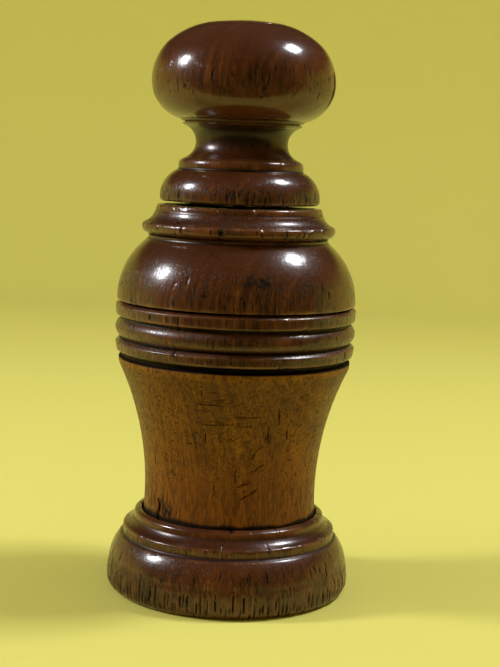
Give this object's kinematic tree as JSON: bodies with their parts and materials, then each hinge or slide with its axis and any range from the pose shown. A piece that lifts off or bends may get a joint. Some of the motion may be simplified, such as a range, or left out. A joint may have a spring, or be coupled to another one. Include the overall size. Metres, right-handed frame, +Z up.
{
  "type": "pepper mill",
  "caption": "Turned wooden pepper mill: round foot, hollow waist, banded hopper and a mushroom knob that turns an iron burr grinder.",
  "frame": {"origin": "centre of the foot's flat underside, on the surface that the mill stands on", "axes": "+Z up along the turning axis and the spindle, towards the knob; the two straps lie along X"},
  "size_m": [0.0768, 0.0768, 0.1773],
  "materials": {
    "waxed_wood": "turned fruitwood, red-brown, waxed and polished glossy",
    "worn_wood": "the same wood, paler and more rubbed on the waist",
    "forged_iron": "dark filed iron",
    "burr_iron": "grey iron, ground bright on the tooth crests",
    "turned_steel": "plain turned steel, slightly dulled",
    "turned_brass": "dull turned brass"
  },
  "bodies": {
    "receiver": {"base": "waxed_wood", "waist": "worn_wood"},
    "mill": {"hopper": "waxed_wood", "collar": "waxed_wood", "ring_burr": "burr_iron", "ring_burr_screws": "turned_steel", "top_bridge": "forged_iron", "bridge_bush": "turned_brass", "bridge_screws": "turned_steel", "stirrup": "forged_iron", "stirrup_screws": "turned_steel", "guide_bush": "turned_brass"},
    "footstep": {"footstep_cup": "turned_steel"},
    "adjuster": {"adjusting_screw": "turned_steel", "thumb_wheel": "turned_brass"},
    "grinder": {"spindle": "turned_steel", "male_burr": "burr_iron", "burr_pin": "turned_steel"},
    "turning_head": {"cap": "waxed_wood", "knob": "waxed_wood", "drive_plate": "turned_brass", "drive_plate_screws": "turned_steel"}
  },
  "joints": [
    {"name": "mill_lift", "type": "slide", "parent": "receiver", "child": "mill", "axis": [0, 0, 1], "range_m": [0, 0.06]},
    {"name": "burr_gap_set", "type": "slide", "parent": "mill", "child": "footstep", "axis": [0, 0, 1], "range_m": [0, 0.000888]},
    {"name": "adjuster_turn", "type": "hinge", "parent": "footstep", "child": "adjuster", "pos_m": [0, 0, 0.034], "axis": [0, 0, 1], "range_deg": [0, 320]},
    {"name": "cap_turn", "type": "hinge", "parent": "footstep", "child": "grinder", "pos_m": [0, 0, 0.1], "axis": [0, 0, 1], "continuous": true},
    {"name": "cap_lift", "type": "slide", "parent": "grinder", "child": "turning_head", "axis": [0, 0, 1], "range_m": [0, 0.05]}
  ],
  "couplings": [
    {"joint": "adjuster_turn", "follows": "burr_gap_set", "rad_per_m": 6283.2}
  ]
}
